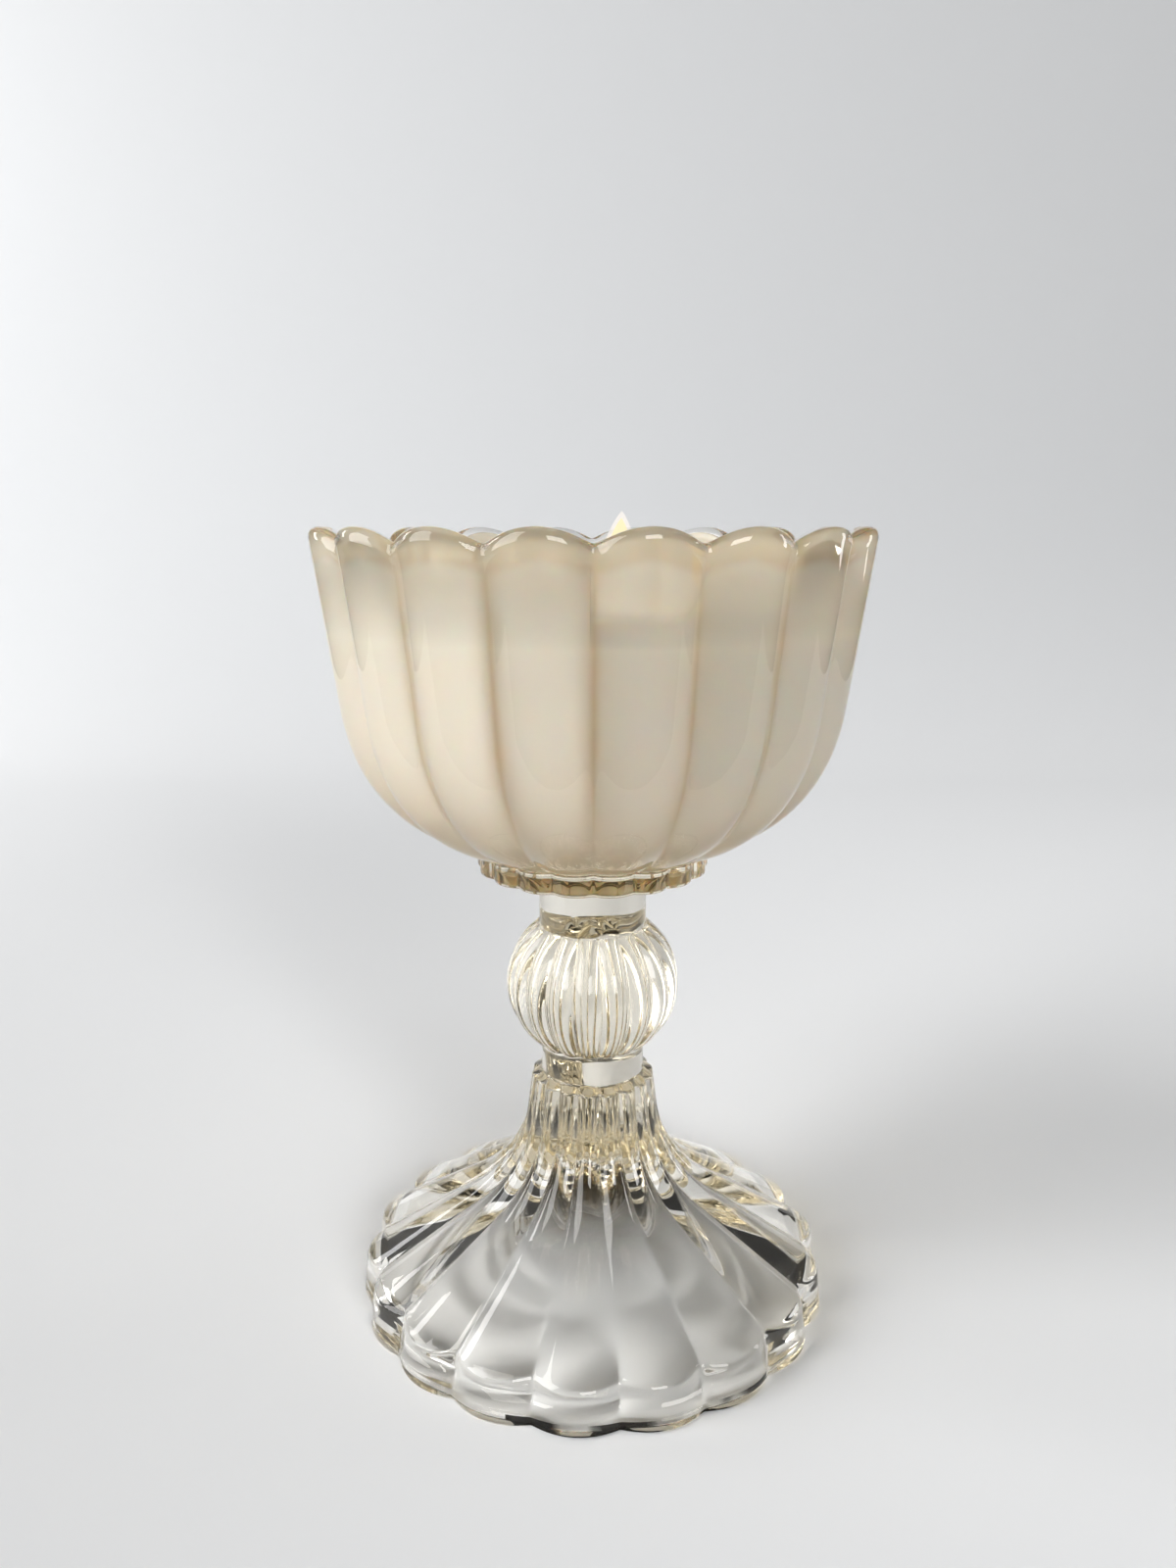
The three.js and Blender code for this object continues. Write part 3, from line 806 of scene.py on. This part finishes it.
flame = {
    "height": 15.2, "radius": 3.9, "foot": 137.2, "footAcross": 4.2, "lean": 0.95,
    "heartHeight": 13.4, "heartRadius": 3.1, "heartFoot": 137.8, "paleShare": 0.7,
    "swell": 2.05, "tipPower": 0.85, "rows": 40,
    "veil": "#FFF6EC", "veilCover": 0.35, "heartLow": "#F0B765", "heartHigh": "#F5E29C", "glow": 1.15,
}


def flameVeil(f):
    # thin bright outer zone of the flame: nearly white, and what is behind it shows through
    material, tree, output = newMaterial("flameVeil")
    clear = addNode(tree, "ShaderNodeBsdfTransparent")
    light = addNode(tree, "ShaderNodeEmission", {"Color": linear(f["veil"]), "Strength": f["glow"]})
    veil = addNode(tree, "ShaderNodeMixShader", {
        0: f["veilCover"], 1: clear.outputs[0], 2: light.outputs[0],
    })
    tree.links.new(veil.outputs[0], output.inputs["Surface"])
    return material


def flameHeart(f):
    # soot glowing in the middle of the flame: orange by the wick, pale yellow above
    material, tree, output = newMaterial("flameHeart")
    place = addNode(tree, "ShaderNodeTexCoord").outputs["Object"]
    height = addNode(tree, "ShaderNodeSeparateXYZ", {0: place}).outputs["Z"]
    share = addNode(tree, "ShaderNodeMapRange", {
        "Value": height, "From Min": f["heartFoot"] * mm,
        "From Max": (f["heartFoot"] + f["heartHeight"] * f["paleShare"]) * mm,
    })
    tone = addNode(tree, "ShaderNodeMix", {
        0: share.outputs["Result"], 6: linear(f["heartLow"]), 7: linear(f["heartHigh"]),
    }, data_type="RGBA")
    light = addNode(tree, "ShaderNodeEmission", {"Color": tone.outputs[2], "Strength": f["glow"]})
    tree.links.new(light.outputs[0], output.inputs["Surface"])
    return material


def flameBody(name, f, foot, height, radius, finish):
    rows = []
    for i in range(f["rows"] + 1):
        share = i / f["rows"]
        swell = f["swell"] * math.sqrt(share) * (1 - share) ** f["tipPower"]
        rows.append(knot(radius * swell, foot + height * share))
    body = pressed(name, rows, finish, flutes=16, steps=2)
    for corner in body.data.vertices:
        share = (corner.co.z / mm - f["foot"]) / f["height"]
        corner.co.x += (f["footAcross"] + f["lean"] * share) * mm
    return seat(body, None)


flameBody("flameVeil", flame, flame["foot"], flame["height"], flame["radius"], flameVeil(flame))
flameBody(
    "flameHeart", flame, flame["heartFoot"], flame["heartHeight"], flame["heartRadius"], flameHeart(flame),
)

# Bond between the two pressings: a thin film with a small bead squeezed out

bond = {"low": 86.6, "high": 86.9, "radius": 9.9, "bead": 0.75, "beadBend": 0.15}


def bondProfile(b):
    edge = knot(b["radius"] + b["bead"], b["high"])
    inner = knot(b["radius"] + b["beadBend"], (b["low"] + b["high"]) / 2)
    return roundedPath([
        (knot(0, b["low"]), 0),
        *smooth(bend(knot(b["radius"], b["low"]), inner, edge, steps=8)),
        (knot(0, b["high"]), 0),
    ])


bondFilm = pressed("bondFilm", bondProfile(bond), clearAdhesive(), flutes=24, steps=4)
seat(bondFilm, "bond_film")

# Small metal and foam pieces stay as they are in the frame, with their own finish

for node, finish in (("wick_sustainer", stampedTinplate()), ("wick_sticker", foamSticker())):
    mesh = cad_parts[node].data
    mesh.materials.clear()
    mesh.materials.append(finish)
    print("finished", node)

# Stage: seamless paper, a window on the left with softer lamps, a dim room, the photo's camera

sweep = {
    "front": -0.13, "wall": 0.68, "curve": 0.2, "curveSteps": 24, "height": 0.54, "half": 0.5,
    "paper": "#E9EAEB", "roughness": 0.9,
}


def seamlessPaper(s):
    # matt paper roll: pale, even, no shine
    material, tree, output = newMaterial("seamlessPaper")
    paper = addNode(tree, "ShaderNodeBsdfDiffuse", {
        "Color": linear(s["paper"]), "Roughness": s["roughness"],
    })
    tree.links.new(paper.outputs[0], output.inputs["Surface"])
    return material


def paperSweep(s):  # in metres: flat in front, curved up to a wall behind
    line = [(s["front"], 0)]
    for i in range(s["curveSteps"] + 1):
        turn = i / s["curveSteps"] * math.pi / 2
        line.append((s["wall"] - s["curve"] * (1 - math.sin(turn)), s["curve"] * (1 - math.cos(turn))))
    line.append((s["wall"], s["height"]))
    corners = [(side * s["half"], y, z) for y, z in line for side in (-1, 1)]
    faces = [(2 * i, 2 * i + 1, 2 * i + 3, 2 * i + 2) for i in range(len(line) - 1)]
    mesh = bpy.data.meshes.new("paperSweep")
    mesh.from_pydata(corners, [], faces)
    mesh.shade_smooth()
    mesh.materials.append(seamlessPaper(s))
    sheet = bpy.data.objects.new("paperSweep", mesh)
    scene.collection.objects.link(sheet)


paperSweep(sweep)

# places and sizes in metres, level as brightness of the lamp's face
lamps = {
    "leftWindow": {"place": (-0.72, -0.32, 0.62), "aim": (0, -0.12, 0.62), "size": (0.6, 1.15), "level": 5},
    "frontFill": {"place": (0.3, -0.92, 0.36), "aim": (0, 0, 0.08), "size": (0.5, 0.45), "level": 8.6},
    "wallLight": {"place": (-0.8, 0.3, 0.4), "aim": (-0.35, 0.68, 0.15), "size": (0.25, 0.5), "level": 7.5},
    "rightStrip": {"place": (0.96, 0.26, 0.22), "aim": (0, 0, 0.08), "size": (0.14, 0.5), "level": 6},
}

for name, row in lamps.items():
    wide, tall = row["size"]
    data = bpy.data.lights.new(name, "AREA")
    data.shape = "RECTANGLE"
    data.size, data.size_y = wide, tall
    data.energy = row["level"] * math.pi * wide * tall
    lamp = bpy.data.objects.new(name, data)
    lamp.location = row["place"]
    lamp.rotation_euler = (Vector(row["aim"]) - lamp.location).to_track_quat("-Z", "Y").to_euler()
    lamp.visible_camera = False
    scene.collection.objects.link(lamp)

room = {
    "pale": 0.72, "left": 0.12, "right": 0.04, "leftFrom": -0.9, "rightFrom": -0.1,
    "behindCamera": 0.03, "darkFrom": 0.1, "darkTo": -0.8, "lowFrom": 0.75, "lowTo": 0.35,
}


def dimRoom(r):  # dimmer on the right, darkest low down behind the camera, with pale air past the paper
    world = bpy.data.worlds.new("dimRoom")
    world.use_nodes = True
    tree = world.node_tree
    tree.nodes.clear()
    direction = addNode(tree, "ShaderNodeTexCoord").outputs["Generated"]
    axes = addNode(tree, "ShaderNodeSeparateXYZ", {0: direction}).outputs
    toFront = addNode(tree, "ShaderNodeMapRange", {
        "Value": axes["Y"], "From Min": r["darkFrom"], "From Max": r["darkTo"],
    }, interpolation_type="SMOOTHSTEP")
    low = addNode(tree, "ShaderNodeMapRange", {
        "Value": axes["Z"], "From Min": r["lowFrom"], "From Max": r["lowTo"],
    }, interpolation_type="SMOOTHSTEP")
    dark = addNode(tree, "ShaderNodeMath", {
        0: toFront.outputs["Result"], 1: low.outputs["Result"],
    }, operation="MULTIPLY")
    side = addNode(tree, "ShaderNodeMapRange", {
        "Value": axes["X"], "From Min": r["leftFrom"], "From Max": r["rightFrom"],
        "To Min": r["left"], "To Max": r["right"],
    })
    level = addNode(tree, "ShaderNodeMix", {
        0: dark.outputs[0], 2: side.outputs["Result"], 3: r["behindCamera"],
    })
    # only the camera sees the pale air, while glass and gloss see the dim room
    seen = addNode(tree, "ShaderNodeLightPath").outputs["Is Camera Ray"]
    shown = addNode(tree, "ShaderNodeMix", {0: seen, 2: level.outputs[0], 3: r["pale"]})
    air = addNode(tree, "ShaderNodeBackground", {"Strength": shown.outputs[0]})
    addNode(tree, "ShaderNodeOutputWorld", {"Surface": air.outputs[0]})
    return world


scene.world = dimRoom(room)

cameraView = {"place": (-0.887, -215.4, 149.35), "tilt": 77.76, "lens": 27.045, "sensor": 36, "near": 10}

camera = bpy.data.cameras.new("photoView")
camera.lens = cameraView["lens"]
camera.sensor_width = cameraView["sensor"]
camera.sensor_fit = "AUTO"
camera.clip_start = cameraView["near"] * mm
eye = bpy.data.objects.new("photoView", camera)
eye.location = Vector(cameraView["place"]) * mm
eye.rotation_euler = (math.radians(cameraView["tilt"]), 0, 0)
scene.collection.objects.link(eye)
scene.camera = eye

scene.view_settings.view_transform = "Standard"
scene.cycles.max_bounces = 32  # light crosses many glass walls here
scene.cycles.transmission_bounces = 32
scene.cycles.glossy_bounces = 12
scene.cycles.blur_glossy = 0.08  # softens a little the light that the flutes throw on the paper
scene.cycles.use_denoising = True
print("stage set with", len(lamps), "lamps")
